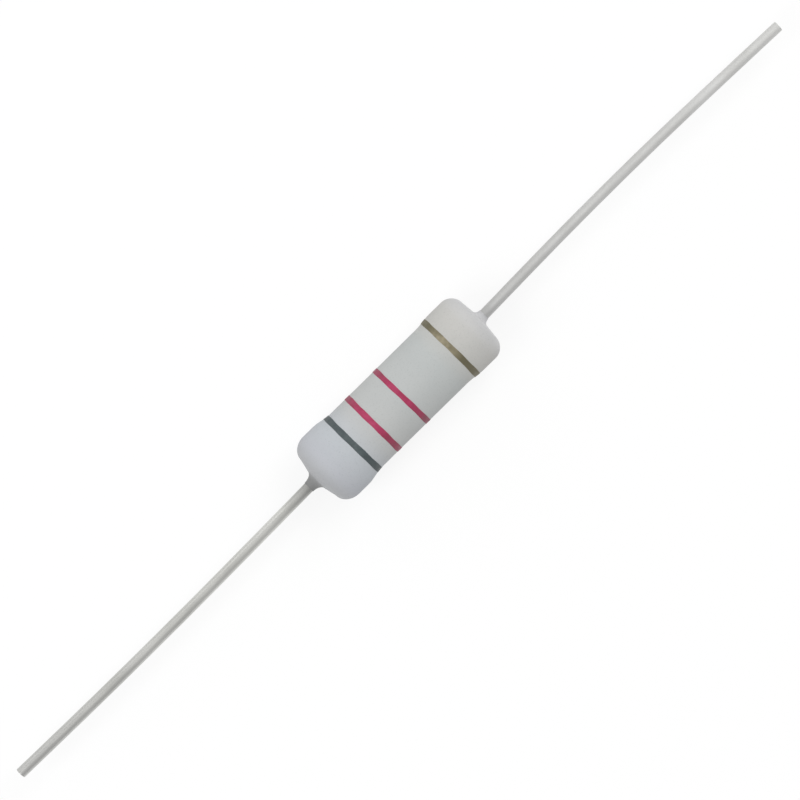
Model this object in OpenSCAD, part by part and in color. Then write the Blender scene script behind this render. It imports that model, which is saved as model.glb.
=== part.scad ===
// Axial power resistor: a ceramic rod with a trimmed resistive film, pressed
// end caps, butt-welded leads, a cement coating and four colour bands.
// Every piece is turned about X, which runs along the leads. The origin is the
// middle of the rod, on its axis. The first digit is read from the -X end.

/* [Ceramic rod] */
// Diameter of the rod
rod_d = 4.2; // [3.4:0.1:5.2]
// Length of the rod
rod_len = 13.9; // [11.5:0.1:17]

/* [Resistive film] */
// Drawn thickness of the film on the rod
film_t = 0.05; // [0.04:0.01:0.08]
// Axial step from one turn of the trimming groove to the next
groove_pitch = 0.9; // [0.7:0.05:1.2]
// Axial width of the trimming groove
groove_w = 0.2; // [0.15:0.05:0.3]
// Plain film left between a cap's rim and the groove, at least
film_margin = 0.7; // [0.5:0.1:1.2]

/* [End caps] */
// Sheet thickness of a drawn cap
cap_t = 0.25; // [0.2:0.05:0.35]
// Length of a cap from its end face to its rim
cap_len = 2.5; // [2:0.1:3.2]
// Inside corner radius of a cap
cap_inner_r = 0.15; // [0.1:0.05:0.25]
// How much larger the bevel of the rod is than that radius
bevel_clear = 0.08; // [0.05:0.01:0.15]

/* [Leads] */
// Diameter of the wire
lead_d = 0.75; // [0.6:0.05:0.9]
// Length of a lead from the end face of the body to its tip
lead_len = 28; // [20:1:35]
// Edge that the cutter leaves broken at a lead's tip
tip_break = 0.04; // [0.02:0.01:0.08]
// Diameter of the upset ring where a lead is welded to its cap
weld_d = 1.3; // [1.1:0.1:1.6]
// Height of that ring along the lead
weld_h = 0.18; // [0.12:0.02:0.24]
// Radial growth of the wire above that ring, which fades to nothing where the wire is bare
root_growth = 0.03; // [0.02:0.01:0.05]

/* [Coating] */
// Thickness of the coating over the film
coat_t = 0.35; // [0.3:0.05:0.5]
// Thickness of the coating over the end face of a cap
end_coat_t = 0.3; // [0.25:0.05:0.45]
// Length of the slope where the coating climbs over a cap's rim
swell_len = 1.4; // [1:0.1:2]
// Radial depth of the rounded shoulders
shoulder_depth = 1; // [0.7:0.1:1.2]
// Thickness of the feather edge where the coating ends on a lead
feather_t = 0.03; // [0.02:0.01:0.06]

/* [Left end of the coating] */
// Thickness over the skirt of the left cap
left_cap_coat_t = 0.29; // [0.2:0.01:0.4]
// Length of the left shoulder along the axis
left_shoulder_len = 1.2; // [0.9:0.1:1.5]
// How far the left end face rises towards the lead
left_face_rise = 0.2; // [0.05:0.05:0.4]
// Width of the foot of the coating round the left lead
left_foot_w = 0.45; // [0.3:0.05:0.6]
// How far the foot climbs the left lead
left_foot_climb = 0.7; // [0.3:0.1:1]

/* [Right end of the coating] */
// Thickness over the skirt of the right cap
right_cap_coat_t = 0.22; // [0.2:0.01:0.4]
// Length of the right shoulder along the axis
right_shoulder_len = 1; // [0.8:0.1:1.4]
// How far the right end face rises towards the lead
right_face_rise = 0.1; // [0.05:0.05:0.4]
// Width of the foot of the coating round the right lead
right_foot_w = 0.32; // [0.25:0.05:0.6]
// How far the foot climbs the right lead
right_foot_climb = 0.4; // [0.3:0.1:1]

/* [Colour bands] */
// Width of each band
band_w = 0.48; // [0.4:0.02:0.6]
// Drawn thickness of the ink
ink_t = 0.04; // [0.03:0.01:0.06]
// From the left end face to the middle of the first band
first_band_in = 3.24; // [2.6:0.02:3.8]
// From the first band to the second
second_band_step = 1.9; // [1.5:0.02:2.3]
// From the second band to the multiplier band
multiplier_band_step = 2.62; // [2.1:0.02:3.2]
// From the right end face to the middle of the tolerance band
tolerance_band_in = 2.7; // [2.2:0.02:3.2]

/* [Hidden] */
$fn = 96;

// Radii from the axis outwards
rod_r = rod_d / 2;
film_r = rod_r + film_t;
cap_r = film_r + cap_t;
lead_r = lead_d / 2;
coat_r = film_r + coat_t;

// Places along the axis, as distances from the middle
rod_end = rod_len / 2;
rod_bevel = cap_inner_r + bevel_clear;
film_end = rod_end - rod_bevel;
cap_end = rod_end + cap_t;
cap_rim = cap_end - cap_len;
body_end = cap_end + end_coat_t;
lead_tip = body_end + lead_len;

// The trimming groove has as many whole turns as fit between the caps
groove_turns = floor(2 * (cap_rim - film_margin) / groove_pitch);
groove_len = groove_turns * groove_pitch;
groove_sector = 360 * groove_w / groove_pitch;
steps_per_turn = 24;
steps_across = 3;

// How far the cutter of the groove reaches inside the rod and outside the film
cutter_depth = 0.4;
cutter_rise = 0.3;

// A radius past every piece, for cuts that have to go right through
past_r = 2 * coat_r;

// One end of the coating: thickness over the cap, length of the shoulder,
// rise of the end face, width of the foot and its climb
LEFT_COAT = [
    left_cap_coat_t, left_shoulder_len, left_face_rise, left_foot_w, left_foot_climb
];
RIGHT_COAT = [
    right_cap_coat_t, right_shoulder_len, right_face_rise, right_foot_w, right_foot_climb
];
swell_steps = 12;
shoulder_steps = 12;
foot_steps = 8;

// Where the coating ends on a lead, as a distance from the middle
function bare_from(end) = body_end + end[2] + end[4];

// Middles of the bands
first_band_x = first_band_in - body_end;
second_band_x = first_band_x + second_band_step;
multiplier_band_x = second_band_x + multiplier_band_step;
tolerance_band_x = body_end - tolerance_band_in;

// A smooth step from 0 to 1 with level ends
function ease(u) = u * u * (3 - 2 * u);

// Outline of one end of the coating as [radius, distance from the middle],
// from the start of the swell to the feather edge on the lead
function coat_end_points(end) = let (
    crest_r = cap_r + end[0],
    shoulder_x = body_end - end[1],
    shoulder_r = crest_r - shoulder_depth,
    foot_r = lead_r + end[3],
    foot_x = body_end + end[2],
    edge_r = lead_r + feather_t,
    edge_x = bare_from(end)
) concat(
    [for (i = [0:swell_steps])
        let (u = i / swell_steps)
        [coat_r + (crest_r - coat_r) * ease(u), cap_rim + (u - 0.5) * swell_len]],
    [for (i = [0:shoulder_steps])
        let (a = 90 * i / shoulder_steps)
        [shoulder_r + shoulder_depth * cos(a), shoulder_x + end[1] * sin(a)]],
    [for (i = [0:foot_steps])
        let (a = 90 * i / foot_steps)
        [foot_r - (foot_r - edge_r) * sin(a), edge_x - end[4] * cos(a)]]
);

// Points of the list in the other order, and on the other side of the middle
function reversed(list) = [for (i = [len(list) - 1:-1:0]) list[i]];
function to_left(list) = [for (p = list) [p[0], -p[1]]];

// Outline of the coating, made thicker by the given radial growth
function coat_points(grow) = [
    for (p = concat(reversed(to_left(coat_end_points(LEFT_COAT))), coat_end_points(RIGHT_COAT)))
    [p[0] + grow, p[1]]
];

// Turns a half section, drawn as [radius, place along the axis], about X
module turned() {
    rotate([0, 90, 0]) rotate_extrude() children();
}

// Rectangle of a half section between two radii and two places
module ring_section(r0, r1, x0, x1) {
    translate([r0, x0]) square([r1 - r0, x1 - x0]);
}

// Filled half section of the coating, down to the axis
module coat_section(grow = 0) {
    points = coat_points(grow);
    polygon(concat([[0, points[0][1]]], points, [[0, points[len(points) - 1][1]]]));
}

// Outside of a right-hand cap as a filled half section, with its drawn corner
module cap_outside() {
    corner_r = cap_inner_r + cap_t;
    ring_section(0, cap_r, cap_rim, cap_end - corner_r);
    ring_section(0, cap_r - corner_r, cap_rim, cap_end);
    translate([cap_r - corner_r, cap_end - corner_r]) circle(corner_r);
}

// Hollow of a right-hand cap, open past its rim
module cap_inside() {
    ring_section(0, film_r, 0, rod_end - cap_inner_r);
    ring_section(0, film_r - cap_inner_r, 0, rod_end);
    translate([film_r - cap_inner_r, rod_end - cap_inner_r]) circle(cap_inner_r);
}

// Root of a right-hand lead: the upset ring falls in a quarter curve to the
// thickened wire, which tapers to its own size where the coating ends
module lead_root(end) {
    root_r = lead_r + root_growth;
    polygon(concat(
        [[0, cap_end]],
        [for (i = [0:foot_steps])
            let (a = 90 * i / foot_steps)
            [root_r + (weld_d / 2 - root_r) * cos(a), cap_end + weld_h * sin(a)]],
        [[lead_r, bare_from(end)], [0, bare_from(end)]]
    ));
}

// Right-hand lead, as a half section from its weld to its cut tip
module lead_section(end) {
    lead_root(end);
    polygon([
        [0, bare_from(end)], [lead_r, bare_from(end)], [lead_r, lead_tip - tip_break],
        [lead_r - tip_break, lead_tip], [0, lead_tip]
    ]);
}

// Everything that the right half of the coating covers
module covered_section(end) {
    ring_section(0, film_r, 0, film_end);
    cap_outside();
    lead_root(end);
}

module ceramic_rod() {
    color("white") turned() polygon([
        [0, -rod_end], [rod_r - rod_bevel, -rod_end], [rod_r, -film_end],
        [rod_r, film_end], [rod_r - rod_bevel, rod_end], [0, rod_end]
    ]);
}

// Screw-shaped cutter: a sector that turns once for each pitch. The chords of its
// outer edge stay outside the film, because their corners lie further out.
module groove_cutter() {
    step = groove_sector / steps_across;
    inner_r = rod_r - cutter_depth;
    outer_r = (film_r + cutter_rise) / cos(step / 2);
    inner_edge = [for (a = [0, groove_sector]) inner_r * [cos(a), sin(a)]];
    outer_edge = [for (k = [steps_across:-1:0]) outer_r * [cos(k * step), sin(k * step)]];
    rotate([0, 90, 0])
    translate([0, 0, -groove_len / 2])
    linear_extrude(
        height = groove_len, twist = -360 * groove_turns,
        slices = steps_per_turn * groove_turns, segments = 2 * steps_across, $fn = 0
    )
    polygon(concat(inner_edge, outer_edge));
}

module resistive_film() {
    color("dimgray") difference() {
        turned() ring_section(rod_r, film_r, -film_end, film_end);
        groove_cutter();
    }
}

module end_cap() {
    color("silver") turned() difference() {
        cap_outside();
        cap_inside();
    }
}

module left_end_cap() {
    mirror([1, 0, 0]) end_cap();
}

module right_end_cap() {
    end_cap();
}

module lead(end) {
    color("gainsboro") turned() lead_section(end);
}

module left_lead() {
    mirror([1, 0, 0]) lead(LEFT_COAT);
}

module right_lead() {
    lead(RIGHT_COAT);
}

module coating() {
    color("lightsteelblue") turned() difference() {
        coat_section();
        covered_section(RIGHT_COAT);
        mirror([0, 1]) covered_section(LEFT_COAT);
    }
}

// Ring of ink on the coating, with its middle at the given place
module band(middle_x) {
    turned() difference() {
        intersection() {
            coat_section(ink_t);
            ring_section(0, past_r, middle_x - band_w / 2, middle_x + band_w / 2);
        }
        coat_section();
    }
}

module first_digit_band() {
    color("darkslategray") band(first_band_x);
}

module second_digit_band() {
    color("crimson") band(second_band_x);
}

module multiplier_band() {
    color("crimson") band(multiplier_band_x);
}

module tolerance_band() {
    color("darkkhaki") band(tolerance_band_x);
}

ceramic_rod();
resistive_film();
left_end_cap();
right_end_cap();
left_lead();
right_lead();
coating();
first_digit_band();
second_digit_band();
multiplier_band();
tolerance_band();
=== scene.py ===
# %% [markdown]
# # An axial power resistor
# The part is a grey, cement-coated power resistor with a wire lead at each end.
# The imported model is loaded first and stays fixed: it says where every piece is.
# The pieces that can be seen get a finer surface here, in the same place, and the
# ones sealed inside keep their own mesh and only get a finish.

# %% Load the frame
import math

import bpy
import numpy as np
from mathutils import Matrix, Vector


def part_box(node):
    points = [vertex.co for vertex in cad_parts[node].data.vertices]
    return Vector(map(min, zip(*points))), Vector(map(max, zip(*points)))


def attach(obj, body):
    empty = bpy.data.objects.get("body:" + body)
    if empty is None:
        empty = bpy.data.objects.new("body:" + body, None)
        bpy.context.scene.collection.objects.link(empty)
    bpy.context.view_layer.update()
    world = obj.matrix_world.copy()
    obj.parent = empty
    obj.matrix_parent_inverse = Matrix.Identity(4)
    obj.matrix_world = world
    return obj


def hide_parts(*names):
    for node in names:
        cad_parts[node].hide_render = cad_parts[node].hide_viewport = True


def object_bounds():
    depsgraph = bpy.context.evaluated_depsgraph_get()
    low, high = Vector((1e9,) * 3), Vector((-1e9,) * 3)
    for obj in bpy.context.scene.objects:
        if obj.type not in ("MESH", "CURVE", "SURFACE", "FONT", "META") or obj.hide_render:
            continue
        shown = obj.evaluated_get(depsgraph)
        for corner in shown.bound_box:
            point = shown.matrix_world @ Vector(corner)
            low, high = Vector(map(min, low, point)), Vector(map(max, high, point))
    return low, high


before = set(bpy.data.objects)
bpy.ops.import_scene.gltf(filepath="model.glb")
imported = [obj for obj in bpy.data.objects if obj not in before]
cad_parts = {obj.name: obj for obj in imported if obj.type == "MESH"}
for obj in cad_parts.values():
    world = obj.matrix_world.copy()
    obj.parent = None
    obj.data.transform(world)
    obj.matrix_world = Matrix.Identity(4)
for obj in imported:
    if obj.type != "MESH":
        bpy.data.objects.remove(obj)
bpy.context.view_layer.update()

MM = 0.001
print("frame nodes:", ", ".join(sorted(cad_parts)))

# %% [markdown]
# ## Sizes
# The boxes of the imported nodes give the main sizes, so nothing here can drift away
# from them. What a box can't say, such as how the coating rounds off at its
# shoulders, is a named value with the same meaning as in the part's own source.

# %% Sizes from the frame
def node_box(name):
    """Lowest and highest corner of a node as numpy arrays in millimetres."""
    low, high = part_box(name)
    return np.array(low) / MM, np.array(high) / MM


film_high = node_box("resistive_film")[1]
cap_low, cap_high = node_box("right_end_cap")
lead_high = node_box("right_lead")[1]
FILM_R = film_high[1]
CAP_R, CAP_RIM, CAP_END = cap_high[1], cap_low[0], cap_high[0]
WELD_R, LEAD_TIP = lead_high[1], lead_high[0]
print(f"film radius {FILM_R:.2f}, cap radius {CAP_R:.2f}, weld radius {WELD_R:.2f}")
print(f"caps from {CAP_RIM:.2f} to {CAP_END:.2f}, tip at {LEAD_TIP:.2f}")

# %% Sizes that a box can't give, in millimetres
LEAD_R = 0.375          # radius of the bare wire
ROOT_GROWTH = 0.03      # how much the weld thickens the wire's root
WELD_H = 0.18           # height of the weld ring, along the wire
TIP_BREAK = 0.04        # size of the broken edge at the cut tip
CAP_CORNER_R = 0.4      # outer rounding of the caps
COAT_R = 2.5            # radius of the coating between the caps
END_COAT_T = 0.3        # thickness over the flat end of a cap
BODY_END = CAP_END + END_COAT_T
SWELL_LEN = 1.4         # length of the swell over a cap's rim
SHOULDER_DEPTH = 1.0    # how far a shoulder falls towards the axis
FEATHER = 0.03          # thickness at the coating's edge on the lead
BAND_W = 0.48           # width of a band
# thickness over the cap, length of the shoulder, rise of the end face, width of the foot, its climb
LEFT_COAT = (0.29, 1.2, 0.2, 0.45, 0.7)
RIGHT_COAT = (0.22, 1.0, 0.1, 0.32, 0.4)
print(f"body ends at {BODY_END:.2f}, coating's radius between the caps {COAT_R:.2f}")

# %% [markdown]
# ## A surface turned about the leads
# Everything on this part was turned, brushed on or drawn, so each piece is a profile
# carried round the X axis. A Screw modifier could turn such a profile too, but its
# radius is the same all round. Here the surface is worked out on a grid, so it may
# change with the angle, which is how small unevenness gets in. It ends in poles on
# the axis or closes on itself like the skin of a ring.

# %% Helpers for turned surfaces
SMOOTH_BELOW = 50       # degrees between two faces, above which their edge stays crisp


def angles(columns):
    """The angles of the columns, as one row: even steps from 0 up to a full turn."""
    return np.linspace(0, 2 * np.pi, columns, endpoint=False)[None, :]


def turned(name, x, r, ring, sideways=0.0):
    """A surface turned about X, as a mesh object.

    x, r and sideways are grids in millimetres with one row for each profile point and
    one column for each angle a. A vertex lies at (x, sideways + r cos a, r sin a). With
    ring set, the last row joins the first, which makes a closed ring. Otherwise each
    end closes in a pole at the mean of its row. The outer rows run towards +X, so that
    the faces point outwards.
    """
    rows, columns = r.shape
    a = angles(columns)
    aside = sideways + 0 * r
    points = np.stack([x + 0 * a, aside + r * np.cos(a), r * np.sin(a)], axis=-1).reshape(-1, 3)
    i = np.arange(rows if ring else rows - 1)[:, None]
    j = np.arange(columns)[None, :]
    near, far = (i % rows) * columns, ((i + 1) % rows) * columns
    beside = (j + 1) % columns
    quads = np.stack([near + j, near + beside, far + beside, far + j], axis=-1).reshape(-1, 4)
    faces = quads.tolist()
    if not ring:
        first, last = len(points), len(points) + 1
        poles = [[x[0].mean(), aside[0].mean(), 0], [x[-1].mean(), aside[-1].mean(), 0]]
        points = np.vstack([points, poles])
        k = j[0]
        base = (rows - 1) * columns
        faces += np.stack([(k + 1) % columns, k, 0 * k + first], axis=-1).tolist()
        faces += np.stack([base + k, base + (k + 1) % columns, 0 * k + last], axis=-1).tolist()
    mesh = bpy.data.meshes.new(name)
    mesh.from_pydata((points * MM).tolist(), [], faces)
    mesh.polygons.foreach_set("use_smooth", np.ones(len(mesh.polygons), bool))
    mesh.set_sharp_from_angle(angle=math.radians(SMOOTH_BELOW))
    mesh.update()
    piece = bpy.data.objects.new(name, mesh)
    bpy.context.scene.collection.objects.link(piece)
    print(f"{name}: {len(mesh.vertices)} vertices, {len(mesh.polygons)} faces")
    return piece


# %% [markdown]
# ## The outline of the coating
# The coating is brushed on over the filmed rod and the two pressed caps. So it is
# thin in the middle, swells where it climbs over a cap's rim, rounds off at the
# shoulders and ends in a small concave foot on each lead. One free curve could be
# drawn through all that. Instead each stretch has its own simple curve, an eased
# step, a quarter of an ellipse and a hollow quarter, because each of them then
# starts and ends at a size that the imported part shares.

# %% Outline of the coating
MIDDLE_POINTS = 60


def ease(u):
    """A step from 0 to 1 with level ends: three u squared less two u cubed."""
    return u * u * (3 - 2 * u)


def coat_end(end, steps=40):
    """One end of the outline as x and r, from the start of the swell to the edge on the lead.

    The swell is an eased step from the middle radius to the crest. The shoulder is a
    quarter ellipse about a point inside it. The foot is a hollow quarter ellipse that
    falls from the end face to the lead.
    """
    over_cap, shoulder_len, rise, foot_w, climb = end
    crest_r = CAP_R + over_cap
    foot_r, edge_r = LEAD_R + foot_w, LEAD_R + FEATHER
    edge_x = BODY_END + rise + climb
    u = np.linspace(0, 1, steps)
    quarter = u * np.pi / 2
    x = [
        CAP_RIM + (u - 0.5) * SWELL_LEN,
        BODY_END - shoulder_len + shoulder_len * np.sin(quarter),
        edge_x - climb * np.cos(quarter),
    ]
    r = [
        COAT_R + (crest_r - COAT_R) * ease(u),
        crest_r - SHOULDER_DEPTH + SHOULDER_DEPTH * np.cos(quarter),
        foot_r - (foot_r - edge_r) * np.sin(quarter),
    ]
    return np.concatenate(x), np.concatenate(r)


left_x, left_r = coat_end(LEFT_COAT)
right_x, right_r = coat_end(RIGHT_COAT)
middle_x = np.linspace(-left_x[0], right_x[0], MIDDLE_POINTS)[1:-1]
outline_x = np.concatenate([-left_x[::-1], middle_x, right_x])
outline_r = np.concatenate([left_r[::-1], np.full(len(middle_x), COAT_R), right_r])
print(f"outline: {len(outline_x)} points from {outline_x[0]:.2f} to {outline_x[-1]:.2f} mm")

# %% [markdown]
# ## Unevenness
# A brushed coating is never a perfect turning. A few slow waves that run round and
# along the body take up to some hundredths of a millimetre off it. They only ever
# take away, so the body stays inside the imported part's box. A Displace modifier
# could make them, but then the bands wouldn't know of them. As a function they
# serve the coating and the bands alike, so the ink lies on the coating everywhere.

# %% Waves in the coating
WAVE_DEPTH = 0.045
WAVES_START_R = 1.2     # no waves on a radius below this, so that the feet stay clean
WAVES_RISE = 1.0        # they have their full depth this far above it
# for each wave: turns round the body, radians per millimetre along it, phase, share
WAVES = (
    (1, 0.21, 0.4, 0.40),
    (2, 0.33, 2.1, 0.26),
    (3, 0.52, 4.4, 0.18),
    (5, 0.95, 1.2, 0.10),
    (7, 1.6, 3.3, 0.06),
)


def waves(x, a):
    """Depth taken off at x and angle a, from nothing to the full depth.

    It is half the full depth times one plus a weighted sum of sines of (turns times a
    plus along times x plus phase), whose shares add up to one.
    """
    total = sum(share * np.sin(turns * a + along * x + phase) for turns, along, phase, share in WAVES)
    return WAVE_DEPTH * (0.5 + 0.5 * total)


def coat_radius(x, a):
    """Radius of the finished coating at x and angle a.

    It is the outline's radius less the waves, which fade towards the leads in step
    with that radius.
    """
    r = np.interp(x, outline_x, outline_r)
    fade = np.clip((r - WAVES_START_R) / WAVES_RISE, 0, 1)
    return r - fade * waves(x, a)


print("wave shares add up to", round(sum(wave[3] for wave in WAVES), 3))

# %% [markdown]
# ## The coating
# The coating is one closed skin: its outer face is the wavy outline, and its inner
# face follows what it covers, which is the film, the two caps and the welds. A
# Solidify modifier would give the skin one thickness all over. The real coating
# fills the steps at the caps, so both faces are worked out and joined in a ring.

# %% Build the coating
COLUMNS = 256
QUARTER_POINTS = 8      # points on each small quarter round
INSIDE_START = 0.05     # where each half of the inner face starts, off the middle


def covered_end(end):
    """Inner outline of one end as x and r, from the middle to the coating's edge on the lead.

    It follows the film, steps up at the cap's rim, rounds the cap's corner in a
    quarter circle, falls along the weld in a quarter ellipse and tapers to the wire.
    """
    bare_x = BODY_END + end[2] + end[4]
    quarter = np.linspace(0, np.pi / 2, QUARTER_POINTS)
    x = [
        [INSIDE_START, CAP_RIM, CAP_RIM],
        CAP_END - CAP_CORNER_R + CAP_CORNER_R * np.sin(quarter),
        CAP_END + WELD_H * np.sin(quarter),
        [bare_x],
    ]
    r = [
        [FILM_R, FILM_R, CAP_R],
        CAP_R - CAP_CORNER_R + CAP_CORNER_R * np.cos(quarter),
        LEAD_R + ROOT_GROWTH + (WELD_R - LEAD_R - ROOT_GROWTH) * np.cos(quarter),
        [LEAD_R],
    ]
    return np.concatenate(x), np.concatenate(r)


round_body = angles(COLUMNS)
outer_x = outline_x[:, None] + 0 * round_body
outer_r = coat_radius(outer_x, round_body)
inner_right_x, inner_right_r = covered_end(RIGHT_COAT)
inner_left_x, inner_left_r = covered_end(LEFT_COAT)
inner_x = np.concatenate([inner_right_x[::-1], -inner_left_x])[:, None] + 0 * round_body
inner_r = np.concatenate([inner_right_r[::-1], inner_left_r])[:, None] + 0 * round_body
coating = turned("coating_skin", np.vstack([outer_x, inner_x]), np.vstack([outer_r, inner_r]), ring=True)
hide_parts("coating")
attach(coating, "root")

# %% [markdown]
# ## The colour bands
# The bands are rolled on with a narrow wheel while the body spins. A wheel leaves a
# film of ink that is full in the middle and thins at its edges, and the edges
# wander a little. They could be painted into the coating's own finish, but ink that
# lies on the cement has an edge of its own. So each band is a ring whose section is
# a low rounded bar, and whose sides move by a few hundredths of a millimetre round
# the body. The wheels also stand a degree or two askew to the axis, each by its own
# amount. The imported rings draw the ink 0.04 mm thick. Here it has about its real
# thickness, half of that, so that the bands don't stand out from the outline.

# %% Build the bands
REAL_INK_T = 0.02
INK_FALL = 0.97         # share of the thickness squared that is lost at the ink's edge
INK_SUNK = 0.01         # how deep the ring's underside lies in the coating
RAGGED = 0.04           # share of the width that a quick wave adds and takes away
BAND_POINTS = 21


def band(name, node, skew, wander, narrowing, phase):
    """A ring of ink on the coating, all sizes in millimetres.

    Across the band v runs from -1 to 1, and x is the middle plus v times half the
    width. The height is the ink's thickness times the square root of 1 less INK_FALL
    times v to the sixth. The middle is a plane turned about Z by the skew in degrees,
    and it wanders with the angle. The width shrinks by up to the given share, as a
    sine of the angle, with a quick wave of nine turns on top.
    """
    low, high = node_box(node)
    middle = (low[0] + high[0]) / 2
    across = np.sin(np.linspace(-np.pi / 2, np.pi / 2, BAND_POINTS))[:, None]
    a = round_body
    shrunk = narrowing * (0.5 + 0.5 * np.sin(a + phase))
    width = BAND_W * (1 - shrunk - RAGGED * np.sin(9 * a + phase))
    centre = middle - math.tan(math.radians(skew)) * COAT_R * np.cos(a)
    centre = centre + wander * (0.6 * np.sin(a + phase) + 0.3 * np.sin(4 * a) + 0.1 * np.sin(13 * a + phase))
    x = centre + across * width / 2
    top = coat_radius(x, a) + REAL_INK_T * np.sqrt(1 - INK_FALL * across**6)
    under_x = centre + across[::-1] * width / 2
    under = coat_radius(under_x, a) - INK_SUNK
    piece = turned(name, np.vstack([x, under_x]), np.vstack([top, under]), ring=True)
    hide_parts(node)
    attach(piece, "root")
    return piece


first_band = band(
    "first_band_ink", "first_digit_band", skew=1.4, wander=0.012, narrowing=0.1, phase=0.2)
second_band = band(
    "second_band_ink", "second_digit_band", skew=0.9, wander=0.018, narrowing=0.12, phase=6.0)
multiplier_band = band(
    "multiplier_band_ink", "multiplier_band", skew=1.8, wander=0.018, narrowing=0.2, phase=0.2)
tolerance_band = band(
    "tolerance_band_ink", "tolerance_band", skew=1.2, wander=0.014, narrowing=0.12, phase=0.4)

# %% [markdown]
# ## The leads
# A lead is copper wire, drawn through a die and dipped in tin, then sheared to
# length. The root is thickened by the weld, and the shear leaves a slightly slanted
# face with a broken edge. The wire's surface ripples by a few thousandths of a
# millimetre, which is enough to break up its highlight. Soft wire is never quite
# straight either, so each lead bows by about a fifth of a millimetre, to its own
# side. A bevelled curve makes a wire quickly, but its radius can't follow the weld
# and the cut so closely. So the leads are turned as well, along a middle that
# moves aside.

# %% Build the leads
WIRE_COLUMNS = 64
WIRE_ROWS = 220
RIPPLE = 0.005
RIPPLE_RISE = 0.5       # the ripple reaches its full depth this far from the coating
SLANT = 0.03            # how far the rim of the cut face leans back at most
SLANT_RUN = 0.3         # length of wire over which the lean grows
FACE_RIM = 0.97         # share of the rounded edge's radius where the flat face starts


def lead(name, node, side, end, bow, bend):
    """A lead from its weld to its tip, as a profile turned about X.

    The radius falls from the weld ring in a quarter curve, tapers over the root, and
    is then the wire's own, less a ripple that is a sum of sines along and round the
    wire. At the tip it rounds the broken edge, and the face slants with the cosine
    of the angle. The middle moves along Y by the bow in millimetres times the sine of
    bend half turns from the bare root to the tip. side is 1 for the lead towards +X
    and -1 for the other, which is mirrored.
    """
    a = angles(WIRE_COLUMNS)
    bare_x = BODY_END + end[2] + end[4]
    quarter = np.linspace(0, np.pi / 2, QUARTER_POINTS)
    root_r = LEAD_R + ROOT_GROWTH
    edge_x = LEAD_TIP - TIP_BREAK
    edge_r = LEAD_R - TIP_BREAK
    wire_x = np.linspace(bare_x, edge_x - TIP_BREAK / 2, WIRE_ROWS)
    x = np.concatenate([
        [CAP_END],
        CAP_END + WELD_H * np.sin(quarter),
        wire_x,
        edge_x + TIP_BREAK * np.sin(quarter),
        [LEAD_TIP, LEAD_TIP],
    ])[:, None]
    r = np.concatenate([
        [WELD_R / 2],
        root_r + (WELD_R - root_r) * np.cos(quarter),
        np.full(len(wire_x), LEAD_R),
        edge_r + TIP_BREAK * np.cos(quarter),
        [edge_r * FACE_RIM, LEAD_R / 2],
    ])[:, None]
    bare = np.clip((x - bare_x) / RIPPLE_RISE, 0, 1)
    ripple = 0.5 + 0.25 * np.sin(2.1 * x + 2 * a + side) + 0.25 * np.sin(0.73 * x - a)
    r = r - bare * RIPPLE * ripple * (r / LEAD_R)
    at_tip = np.clip((x - LEAD_TIP + SLANT_RUN) / SLANT_RUN, 0, 1)
    x = x - at_tip * SLANT * (r / LEAD_R) * (0.5 - 0.5 * np.cos(a + side))
    sideways = bow * np.sin(bend * np.pi * np.clip((x - bare_x) / (LEAD_TIP - bare_x), 0, 1))
    if side < 0:
        x, r, sideways = -x[::-1], r[::-1], sideways[::-1]
    piece = turned(name, x, r, ring=False, sideways=sideways)
    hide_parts(node)
    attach(piece, "root")
    return piece


left_lead = lead("left_lead_wire", "left_lead", -1, LEFT_COAT, bow=-0.2, bend=0.83)
right_lead = lead("right_lead_wire", "right_lead", 1, RIGHT_COAT, bow=0.22, bend=1.1)

# %% [markdown]
# ## Finishes
# Each finish is a small graph of nodes on a Principled shader. A picture could be
# wrapped round a piece instead, but it would show a seam and blur close by. The
# patterns here are worked out in space. They read the object's own coordinates, in
# metres, so a Mapping node brings them to the scale of the real grain. What is the
# same all over is set on the shader's own socket.

# %% Helpers for finishes
def finish_start(name, roughness=0.5, metallic=0.0):
    """A new material with its node tree, its shader and an object coordinate to read.

    A finish whose roughness has a pattern links it later and gives none here.
    """
    material = bpy.data.materials.new(name)
    material.use_nodes = True
    tree = material.node_tree
    shader = tree.nodes["Principled BSDF"]
    shader.inputs["Roughness"].default_value = roughness
    shader.inputs["Metallic"].default_value = metallic
    place = tree.nodes.new("ShaderNodeTexCoord").outputs["Object"]
    return material, tree, shader, place


def linear(srgb):
    """A colour given as three screen values from 0 to 255, in linear light with full alpha.

    It is the usual screen curve: a straight line near black, and a power of 2.4 above.
    """
    c = np.array(srgb, float) / 255
    lin = np.where(c <= 0.04045, c / 12.92, ((c + 0.055) / 1.055) ** 2.4)
    return (*lin.tolist(), 1.0)


def noise(tree, place, grain, detail=2.0, stretch=(1, 1, 1)):
    """Noise whose cells are grain millimetres across.

    stretch makes them longer by the given factors along X, Y and Z.
    """
    mapping = tree.nodes.new("ShaderNodeMapping")
    mapping.inputs["Scale"].default_value = [1 / (grain * MM * s) for s in stretch]
    texture = tree.nodes.new("ShaderNodeTexNoise")
    texture.inputs["Scale"].default_value = 1.0
    texture.inputs["Detail"].default_value = detail
    tree.links.new(place, mapping.inputs["Vector"])
    tree.links.new(mapping.outputs["Vector"], texture.inputs["Vector"])
    return texture.outputs["Fac"]


def ramp(tree, value, stops):
    """A colour ramp on a value. stops is a list of (place from 0 to 1, linear colour)."""
    node = tree.nodes.new("ShaderNodeValToRGB")
    marks = node.color_ramp.elements
    marks.remove(marks[1])
    marks[0].position, marks[0].color = stops[0]
    for place, colour in stops[1:]:
        marks.new(place).color = colour
    tree.links.new(value, node.inputs["Fac"])
    return node.outputs["Color"]


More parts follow.
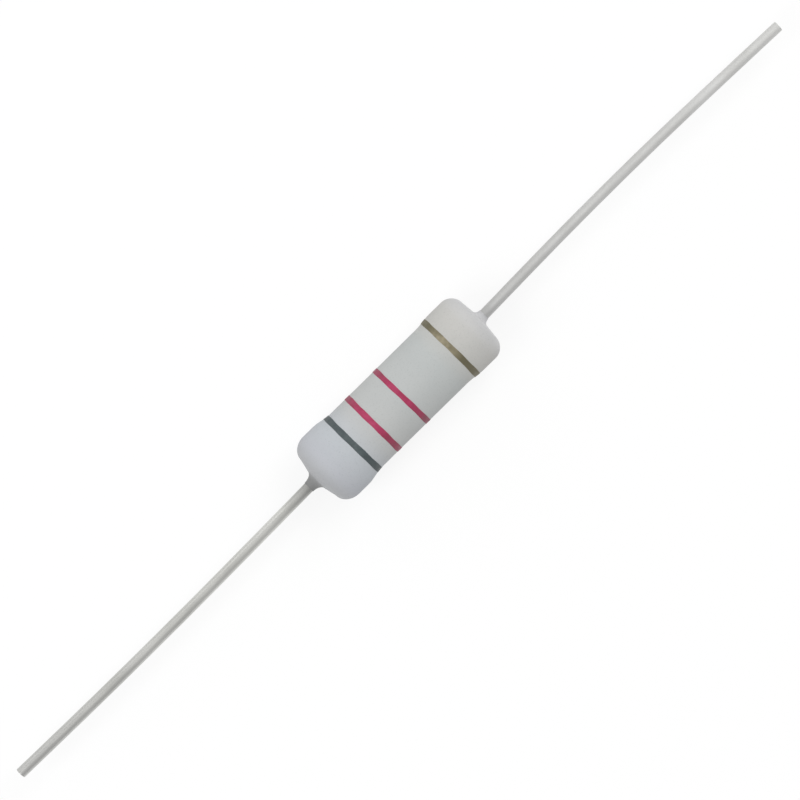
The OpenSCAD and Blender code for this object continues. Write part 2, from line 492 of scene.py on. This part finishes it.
def spread(tree, value, low, high, from_low=0.3, from_high=0.7):
    """Maps a value onto a range along a straight line, and keeps it inside.

    What it comes from is, unless given, the range that most noise values lie in.
    """
    node = tree.nodes.new("ShaderNodeMapRange")
    node.inputs["From Min"].default_value = from_low
    node.inputs["From Max"].default_value = from_high
    node.inputs["To Min"].default_value = low
    node.inputs["To Max"].default_value = high
    tree.links.new(value, node.inputs["Value"])
    return node.outputs["Result"]


def mix(tree, first, second, share, blend="MIX"):
    """Mixes two colours by a share, which is a number or a socket.

    The node has a set of sockets for each kind of data. Inputs 6 and 7 and output 2
    are the ones for colours.
    """
    node = tree.nodes.new("ShaderNodeMix")
    node.data_type = "RGBA"
    node.blend_type = blend
    tree.links.new(first, node.inputs[6])
    tree.links.new(second, node.inputs[7])
    if isinstance(share, float):
        node.inputs[0].default_value = share
    else:
        tree.links.new(share, node.inputs[0])
    return node.outputs[2]


def bump(tree, shader, layers):
    """Chains bump nodes into the shader's normal.

    layers is a list of (height socket, depth in millimetres, strength).
    """
    before = None
    for height, depth, strength in layers:
        node = tree.nodes.new("ShaderNodeBump")
        node.inputs["Strength"].default_value = strength
        node.inputs["Distance"].default_value = depth * MM
        tree.links.new(height, node.inputs["Height"])
        if before is not None:
            tree.links.new(before, node.inputs["Normal"])
        before = node.outputs["Normal"]
    tree.links.new(before, shader.inputs["Normal"])


# %% [markdown]
# ### Cement coating
# The coating is silicone cement, filled with mineral powder and baked. It is matt
# and pale grey with a hint of blue, cloudy at the scale of millimetres, speckled
# with filler, and its skin has the soft orange peel of brushed paint. The tone
# drifts from cool at the first band to slightly warm at the other end. Painted
# light and shade run along it too: it is darker at the left end and palest at the
# right shoulder. Near the axis, where the feet meet the wire, it is darkened as
# painted shade, fully at the left end and fading to nothing at the right. One grey
# would be simpler, but a long plain body needs this drift to look coated and not
# moulded.

# %% Cement coating finish
def cement_finish():
    """A tone that drifts along X with painted light and shade at the ends, times clouds, painted shade in
    the feet and specks of filler.

    The feet are found by their distance from the axis, the length of (0, Y, Z).
    """
    material, tree, shader, place = finish_start("cement_coating")
    split = tree.nodes.new("ShaderNodeSeparateXYZ")
    tree.links.new(place, split.inputs["Vector"])
    along = spread(tree, split.outputs["X"], 0.0, 1.0, -8 * MM, 8 * MM)
    # Tint from cool to slightly warm, plus painted light and shade: darker at the left end, palest at the
    # right shoulder.
    tint_and_painted_end_light = ramp(tree, along, [
        (0.04, linear((171, 172, 174))),
        (0.1, linear((178, 180, 185))),
        (0.2, linear((180, 184, 188))),
        (0.25, linear((180, 183, 186))),
        (0.33, linear((180, 181, 180))),
        (0.72, linear((178, 181, 180))),
        (0.81, linear((183, 182, 178))),
        (0.9, linear((186, 185, 182))),
        (0.98, linear((200, 200, 201))),
    ])
    cloud = ramp(tree, noise(tree, place, 1.8, 3.0), [
        (0.3, (0.965, 0.97, 0.975, 1)),
        (0.7, (1.0, 1.0, 1.0, 1)),
    ])
    speck = ramp(tree, noise(tree, place, 0.09, 1.0), [
        (0.3, (0.86, 0.87, 0.87, 1)),
        (0.42, (1.0, 1.0, 1.0, 1)),
    ])
    flat = tree.nodes.new("ShaderNodeVectorMath")
    flat.operation = "MULTIPLY"
    flat.inputs[1].default_value = (0, 1, 1)
    tree.links.new(place, flat.inputs[0])
    radius = tree.nodes.new("ShaderNodeVectorMath")
    radius.operation = "LENGTH"
    tree.links.new(flat.outputs["Vector"], radius.inputs[0])
    # Painted shade: the colour darkens close to the axis, where the feet meet the wire, fully at the left
    # end and fading to nothing at the right.
    painted_foot_shade = ramp(tree, spread(tree, radius.outputs["Value"], 0.0, 1.0, 0.4 * MM, 1.1 * MM), [
        (0.0, linear((208, 207, 204))),
        (0.3, linear((219, 218, 216))),
        (1.0, (1.0, 1.0, 1.0, 1)),
    ])
    foot_shade_share = spread(tree, split.outputs["X"], 1.0, 0.0, -7 * MM, 7 * MM)
    colour = mix(tree, tint_and_painted_end_light, cloud, 1.0, "MULTIPLY")
    colour = mix(tree, colour, painted_foot_shade, foot_shade_share, "MULTIPLY")
    colour = mix(tree, colour, speck, 0.6, "MULTIPLY")
    tree.links.new(colour, shader.inputs["Base Color"])
    shader.inputs["Specular IOR Level"].default_value = 0.25
    tree.links.new(spread(tree, noise(tree, place, 0.5, 2.0), 0.66, 0.82), shader.inputs["Roughness"])
    bump(tree, shader, [
        (noise(tree, place, 0.7, 1.5), 0.03, 0.5),
        (noise(tree, place, 0.08, 2.0), 0.004, 0.5),
    ])
    return material


coating.data.materials.append(cement_finish())
print("coating finish:", coating.data.materials[0].name)

# %% [markdown]
# ### Band inks
# The inks are matt enamels. A rolled ink is thinner in places, so its colour is
# mottled and a little of the grey shows through. The gold ink is a varnish full
# of fine brass flake: it is dark and olive, with a weak metallic glint. Each ink
# is darkened towards the two sides of the body, +Y and -Y, as painted shade, and
# left palest a little to the +Y side of the middle, as painted light. One helper
# makes all three inks, because they differ only in colour, glint and where that
# painted light lies.

# %% Band ink finishes
def ink_finish(name, full, thin, shaded, lit_spot=(0.3, 0.9, 2.3), metallic=0.0):
    """An ink that varies between its full and its thin colour, with painted shade at the sides.

    The three numbers of the painted light give, in millimetres, the Y where the ink is palest
    and the distances from there at which the painted shade starts and is full.
    """
    lit_y, starts, ends = lit_spot
    material, tree, shader, place = finish_start(name, metallic=metallic)
    mottle = noise(tree, place, 0.55, 4.0)
    colour = ramp(tree, mottle, [(0.38, linear(full)), (0.72, linear(thin))])
    split = tree.nodes.new("ShaderNodeSeparateXYZ")
    tree.links.new(place, split.inputs["Vector"])
    from_lit = tree.nodes.new("ShaderNodeMath")
    from_lit.operation = "SUBTRACT"
    from_lit.inputs[1].default_value = lit_y * MM
    tree.links.new(split.outputs["Y"], from_lit.inputs[0])
    side = tree.nodes.new("ShaderNodeMath")
    side.operation = "ABSOLUTE"
    tree.links.new(from_lit.outputs["Value"], side.inputs[0])
    shade_share = spread(tree, side.outputs["Value"], 0.0, 1.0, starts * MM, ends * MM)
    # Painted shade: away from the painted light, towards the sides of the body, the colour turns to the
    # shaded one.
    shaded_colour = ramp(tree, mottle, [(0.38, linear(shaded)), (0.9, linear(full))])
    tree.links.new(mix(tree, colour, shaded_colour, shade_share), shader.inputs["Base Color"])
    tree.links.new(spread(tree, noise(tree, place, 0.3, 2.0), 0.45, 0.65), shader.inputs["Roughness"])
    bump(tree, shader, [(noise(tree, place, 0.12, 2.0), 0.006, 0.5)])
    return material


# The third colour of each ink is its painted shade at the sides of the body.
slate_ink = ink_finish("slate_enamel", (62, 72, 74), (82, 92, 94), (62, 71, 73))
red_ink = ink_finish("red_enamel", (149, 27, 70), (171, 54, 94), (125, 55, 73))
gold_ink = ink_finish(
    "gold_enamel", (112, 105, 80), (154, 145, 122), (96, 91, 70), lit_spot=(0.5, 0.3, 1.5), metallic=0.2)
first_band.data.materials.append(slate_ink)
second_band.data.materials.append(red_ink)
multiplier_band.data.materials.append(red_ink)
tolerance_band.data.materials.append(gold_ink)
print("ink finishes:", slate_ink.name, red_ink.name, gold_ink.name)

# %% [markdown]
# ### Tinned wire
# Tin on copper wire starts out bright and grows a thin grey oxide in storage, which
# leaves it a dull satin grey. Fine lines from the drawing die run along it, and the
# oxide is patchy. The left lead is darker and glossier, the right lead paler and
# more matt. Beside the body the wire is darkened further, most at the left end, as
# painted shade where it meets the coating. The cut face shows the copper. One even
# metal would mirror the lamps in a clean stripe, so tone and roughness both change
# along the wire, and noise breaks them up.

# %% Wire finishes
def tin_finish():
    """Dull metal whose tone and roughness change along X, with fine lines along the wire."""
    material, tree, shader, place = finish_start("tinned_copper", metallic=0.85)
    split = tree.nodes.new("ShaderNodeSeparateXYZ")
    tree.links.new(place, split.inputs["Vector"])
    along = spread(tree, split.outputs["X"], 0.0, 1.0, -36 * MM, 36 * MM)
    # The dips beside the body, deepest at 0.385 by the left end, are painted shade where the wire meets the
    # coating.
    tone_and_root_shade = ramp(tree, along, [
        (0.0, linear((196, 196, 194))),
        (0.35, linear((208, 208, 204))),
        (0.385, linear((168, 168, 166))),
        (0.615, linear((199, 199, 198))),
        (0.68, linear((207, 207, 206))),
        (1.0, linear((221, 221, 220))),
    ])
    dull = ramp(tree, noise(tree, place, 2.5, 3.0, (2, 1, 1)), [
        (0.35, (0.89, 0.89, 0.88, 1)),
        (0.65, (1.0, 1.0, 1.0, 1)),
    ])
    tree.links.new(mix(tree, tone_and_root_shade, dull, 1.0, "MULTIPLY"), shader.inputs["Base Color"])
    matt = spread(tree, split.outputs["X"], 0.34, 0.7, -10 * MM, 12 * MM)
    patch = spread(tree, noise(tree, place, 0.6, 2.0, (4, 1, 1)), 0.0, 0.1)
    total = tree.nodes.new("ShaderNodeMath")
    tree.links.new(matt, total.inputs[0])
    tree.links.new(patch, total.inputs[1])
    tree.links.new(total.outputs["Value"], shader.inputs["Roughness"])
    bump(tree, shader, [(noise(tree, place, 0.06, 1.0, (60, 1, 1)), 0.0015, 0.5)])
    return material


def copper_finish():
    """Bare copper with the fine marks that the shear leaves along Y."""
    material, tree, shader, place = finish_start("cut_copper", 0.35, 1.0)
    colour = ramp(tree, noise(tree, place, 0.15, 2.0), [
        (0.35, linear((172, 118, 94))),
        (0.7, linear((196, 148, 124))),
    ])
    tree.links.new(colour, shader.inputs["Base Color"])
    bump(tree, shader, [(noise(tree, place, 0.03, 1.0, (1, 12, 1)), 0.004, 0.6)])
    return material


# %% Finish the leads
FACES_END = 0.97        # how squarely a face has to look along X to count as the cut face
tin, copper = tin_finish(), copper_finish()
for wire in (left_lead, right_lead):
    mesh = wire.data
    mesh.materials.append(tin)
    mesh.materials.append(copper)
    centres = np.empty(len(mesh.polygons) * 3)
    normals = np.empty(len(mesh.polygons) * 3)
    mesh.polygons.foreach_get("center", centres)
    mesh.polygons.foreach_get("normal", normals)
    near_tip = np.abs(centres[::3]) / MM > LEAD_TIP - TIP_BREAK - SLANT
    on_face = near_tip & (np.abs(normals[::3]) > FACES_END)
    mesh.polygons.foreach_set("material_index", on_face.astype(np.int32))
    print(wire.name, "faces that show copper:", int(on_face.sum()))

# %% [markdown]
# ### Sealed pieces
# The rod, film and caps can't be seen once the part is made, but the model can be
# taken apart, so each has its own finish: fired ceramic with grey pores, a dark
# glassy oxide film, and plated sheet steel with faint drawing marks. They could be
# rebuilt like the rest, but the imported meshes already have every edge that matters.

# %% Finishes of the sealed pieces
def ceramic_finish():
    """Matt, off-white and mottled, with a fine rough grain."""
    material, tree, shader, place = finish_start("fired_ceramic", 0.7)
    colour = ramp(tree, noise(tree, place, 0.25, 4.0), [
        (0.3, linear((214, 208, 196))),
        (0.6, linear((236, 232, 224))),
    ])
    tree.links.new(colour, shader.inputs["Base Color"])
    bump(tree, shader, [(noise(tree, place, 0.1, 3.0), 0.008, 0.5)])
    return material


def film_finish():
    """Dark and glassy, between a cool and a warm grey."""
    material, tree, shader, place = finish_start("oxide_film")
    colour = ramp(tree, noise(tree, place, 1.2, 3.0), [
        (0.3, linear((44, 46, 52))),
        (0.7, linear((66, 62, 60))),
    ])
    tree.links.new(colour, shader.inputs["Base Color"])
    tree.links.new(spread(tree, noise(tree, place, 0.4, 2.0), 0.25, 0.4), shader.inputs["Roughness"])
    return material


def plated_finish():
    """Bright metal with faint lines along X, the way the cup was drawn."""
    material, tree, shader, place = finish_start("plated_steel", 0.35, 1.0)
    colour = ramp(tree, noise(tree, place, 0.8, 3.0), [
        (0.3, linear((186, 184, 178))),
        (0.7, linear((212, 210, 204))),
    ])
    tree.links.new(colour, shader.inputs["Base Color"])
    bump(tree, shader, [(noise(tree, place, 0.05, 1.0, (20, 1, 1)), 0.005, 0.5)])
    return material


plated = plated_finish()
for name, material in (
    ("ceramic_rod", ceramic_finish()),
    ("resistive_film", film_finish()),
    ("left_end_cap", plated),
    ("right_end_cap", plated),
):
    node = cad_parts[name]
    node.data.materials.clear()
    node.data.materials.append(material)
print("finishes:", ", ".join(sorted(m.name for m in bpy.data.materials)))

# %% [markdown]
# ## Floor, light and camera
# The part lies on a light table. Its surface glows, so it is white and carries
# almost no shadow. A plain white floor under strong lamps would be white too, but
# the lamps would then bleach the part. A wire mirrors whatever is straight above
# it, so no lamp hangs there: two key lamps lean over the part's two ends, which
# leaves the top of the wire grey. A weaker lamp at the upper left, as the picture
# is seen, gives the body its soft shading, and the sky fills in the rest.

# %% Floor
FLOOR_HALF = 1.5
FLOOR_GREY = 0.16
FLOOR_GLOW = 0.82
floor_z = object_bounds()[0][2]
floor_mesh = bpy.data.meshes.new("floor")
floor_mesh.from_pydata(
    [(-FLOOR_HALF, -FLOOR_HALF, floor_z), (FLOOR_HALF, -FLOOR_HALF, floor_z),
     (FLOOR_HALF, FLOOR_HALF, floor_z), (-FLOOR_HALF, FLOOR_HALF, floor_z)],
    [], [(0, 1, 2, 3)],
)
floor = bpy.data.objects.new("floor", floor_mesh)
bpy.context.scene.collection.objects.link(floor)
floor_material, _, floor_shader, _ = finish_start("light_table", 0.9)
floor_shader.inputs["Base Color"].default_value = (FLOOR_GREY, FLOOR_GREY, FLOOR_GREY, 1)
floor_shader.inputs["Specular IOR Level"].default_value = 0.0
floor_shader.inputs["Emission Color"].default_value = (1, 1, 1, 1)
floor_shader.inputs["Emission Strength"].default_value = FLOOR_GLOW
floor_mesh.materials.append(floor_material)
print(f"floor at {floor_z / MM:.3f} mm")

# %% Camera
PIXELS_PER_MM = 15.0
FRAME_PIXELS = 800
LEAN = 44.58                    # degrees by which the leads rise to the right in the picture
BODY_PIXEL = (398.6, 398.7)     # where the body's middle lies in it
LENS, SENSOR = 200.0, 36.0
lean = math.radians(LEAN)
right_way = np.array([math.cos(lean), -math.sin(lean), 0])
up_way = np.array([math.sin(lean), math.cos(lean), 0])
aside = (FRAME_PIXELS / 2 - BODY_PIXEL[0]) / PIXELS_PER_MM * MM
below = (BODY_PIXEL[1] - FRAME_PIXELS / 2) / PIXELS_PER_MM * MM
height = FRAME_PIXELS / PIXELS_PER_MM * MM * LENS / SENSOR
camera_data = bpy.data.cameras.new("camera")
camera_data.lens = LENS
camera_data.sensor_width = SENSOR
camera_data.clip_start = 0.01
camera_data.clip_end = 10.0
camera = bpy.data.objects.new("camera", camera_data)
camera.location = right_way * aside + up_way * below + np.array([0, 0, height])
camera.rotation_euler = (0, 0, -lean)
bpy.context.scene.collection.objects.link(camera)
bpy.context.scene.camera = camera
print(f"camera {height:.3f} m above the axis")

# %% Light
SKY_STRENGTH = 0.53


def lamp(name, way, distance, size, power):
    """A square lamp that faces the part, with distance and size in metres.

    way says where it hangs, in image terms: right, up and towards the camera.
    """
    data = bpy.data.lights.new(name, "AREA")
    data.size = size
    data.energy = power
    aim = right_way * way[0] + up_way * way[1] + np.array([0, 0, 1]) * way[2]
    aim = aim / np.linalg.norm(aim)
    light = bpy.data.objects.new(name, data)
    light.location = aim * distance
    light.rotation_euler = Vector(aim).to_track_quat("Z", "Y").to_euler()
    bpy.context.scene.collection.objects.link(light)
    print(f"{name}: {power} W at {distance} m")


lamp("right_key", (0.465, 0.667, 0.9), distance=0.6, size=0.35, power=1.5)
lamp("left_key", (-0.675, -0.453, 0.9), distance=0.6, size=0.35, power=1.5)
lamp("side_fill", (-0.61, 0.61, 0.5), distance=0.6, size=0.45, power=0.42)
world = bpy.data.worlds.new("sky")
world.use_nodes = True
world.node_tree.nodes["Background"].inputs["Color"].default_value = (1, 1, 1, 1)
world.node_tree.nodes["Background"].inputs["Strength"].default_value = SKY_STRENGTH
bpy.context.scene.world = world
bpy.context.scene.view_settings.view_transform = "Standard"
